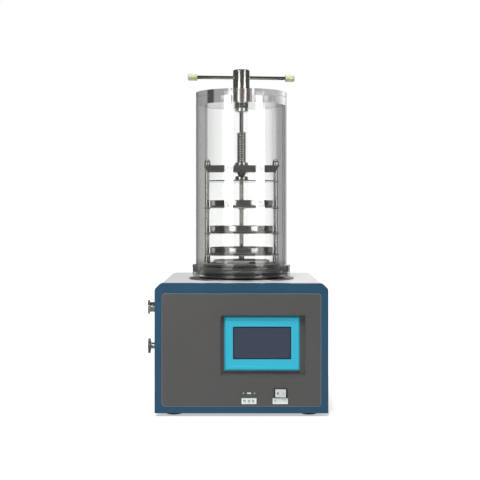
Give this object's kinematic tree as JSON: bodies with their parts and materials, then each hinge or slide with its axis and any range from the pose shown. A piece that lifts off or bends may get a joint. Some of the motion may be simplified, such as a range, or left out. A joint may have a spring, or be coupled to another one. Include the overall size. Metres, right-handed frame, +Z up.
{
  "type": "benchtop freeze dryer",
  "caption": "Benchtop freeze dryer: a touch-screen cabinet with a clear jar on top, holding shelves, trays and a hand-turned pressing screw.",
  "frame": {"origin": "middle of the overall footprint, at bench height", "axes": "+Z up; -Y towards the user, who faces the screen; +X to the right of a user who faces the screen"},
  "size_m": [0.497, 0.6074, 0.949],
  "materials": {
    "blue_paint": "semi-gloss powder coat",
    "grey_paint": "fine-textured powder coat",
    "panel_grey": "satin metallic grey",
    "polished_steel": "turned and polished stainless steel",
    "clear_acrylic": "clear polished cast acrylic",
    "black_rubber": "matt moulded rubber",
    "teal_plastic": "moulded satin",
    "screen_glass": "dark touch glass, switched off",
    "black_plastic": "moulded matt",
    "grey_plastic": "moulded light grey",
    "pale_cap": "translucent pale yellow-green moulding",
    "copper": "drawn copper tube",
    "foam": "closed-cell foam",
    "black_paint": "semi-gloss enamel",
    "aluminium": "rolled",
    "board_green": "coated circuit board"
  },
  "bodies": {
    "cabinet_and_frame": {"baffle_disc": "polished_steel", "base_drum": "polished_steel", "base_tray": "grey_paint", "cap_nut_left": "polished_steel", "cap_nut_rear": "polished_steel", "cap_nut_right": "polished_steel", "chamber_flange": "clear_acrylic", "chamber_lid": "clear_acrylic", "chamber_tube": "clear_acrylic", "cold_trap": "polished_steel", "compressor": "black_paint", "condenser": "aluminium", "control_board": "board_green", "cooling_coil": "copper", "data_socket": "polished_steel", "drain_pipe": "copper", "fan_frame": "black_plastic", "foot_front_left": "black_rubber", "foot_front_right": "black_rubber", "foot_rear_left": "black_rubber", "foot_rear_right": "black_rubber", "front_frame": "blue_paint", "front_panel": "panel_grey", "gland_body": "polished_steel", "gland_nut": "polished_steel", "gland_washer": "black_rubber", "insulation": "foam", "power_inlet": "black_plastic", "rear_panel": "grey_paint", "screen_glass": "screen_glass", "screen_housing": "teal_plastic", "screen_pocket": "panel_grey", "screw_nut": "polished_steel", "seal_ring": "black_rubber", "shelf_bottom": "polished_steel", "suction_pipe": "copper", "switch_housing": "black_plastic", "tie_rod_left": "polished_steel", "tie_rod_rear": "polished_steel", "tie_rod_right": "polished_steel", "tray_bottom": "polished_steel", "vacuum_port": "polished_steel", "valve_body": "polished_steel", "wrap_cover": "grey_paint", "yoke_beam": "polished_steel"},
    "handle": {"handle_hub": "polished_steel", "handle_bar": "polished_steel", "handle_cap_left": "pale_cap", "handle_cap_right": "pale_cap", "drive_shaft": "polished_steel"},
    "pressing_plate": {"press_plate": "polished_steel", "thrust_foot": "polished_steel"},
    "lead_screw": {"press_screw": "polished_steel"},
    "upper_shelf": {"shelf_top": "polished_steel", "tray_top": "polished_steel"},
    "centre_shelf": {"shelf_middle": "polished_steel", "tray_middle": "polished_steel"},
    "rocker": {"switch_rocker": "grey_plastic"},
    "drain_knob": {"valve_knob": "black_plastic"},
    "fan": {"fan_blades": "black_plastic"}
  },
  "joints": [
    {"name": "handle_spin", "type": "hinge", "parent": "cabinet_and_frame", "child": "handle", "pos_m": [0.0185, -0.04739, 0.8856], "axis": [0, 0, 1], "range_deg": [-3330, 0]},
    {"name": "press_slide", "type": "slide", "parent": "cabinet_and_frame", "child": "pressing_plate", "axis": [0, 0, 1], "range_m": [-0.0463, 0]},
    {"name": "screw_spin", "type": "hinge", "parent": "pressing_plate", "child": "lead_screw", "pos_m": [0.0185, -0.04739, 0.6437], "axis": [0, 0, 1], "range_deg": [-3330, 0]},
    {"name": "upper_shelf_slide", "type": "slide", "parent": "cabinet_and_frame", "child": "upper_shelf", "axis": [0, 0, 1], "range_m": [-0.02, 0]},
    {"name": "centre_shelf_slide", "type": "slide", "parent": "cabinet_and_frame", "child": "centre_shelf", "axis": [0, 0, 1], "range_m": [-0.01, 0]},
    {"name": "switch_rock", "type": "hinge", "parent": "cabinet_and_frame", "child": "rocker", "pos_m": [0.122, -0.30029, 0.0623], "axis": [0, 0, 1], "range_deg": [0, 16]},
    {"name": "drain_knob_turn", "type": "hinge", "parent": "cabinet_and_frame", "child": "drain_knob", "pos_m": [-0.2445, -0.04739, 0.1588], "axis": [-1, 0, 0], "range_deg": [0, 720]},
    {"name": "fan_spin", "type": "hinge", "parent": "cabinet_and_frame", "child": "fan", "pos_m": [0.1285, 0.27761, 0.1205], "axis": [0, 1, 0], "continuous": true}
  ],
  "couplings": [
    {"joint": "press_slide", "follows": "handle_spin", "m_per_rad": 0.00079577},
    {"joint": "screw_spin", "follows": "handle_spin", "ratio": 1}
  ]
}
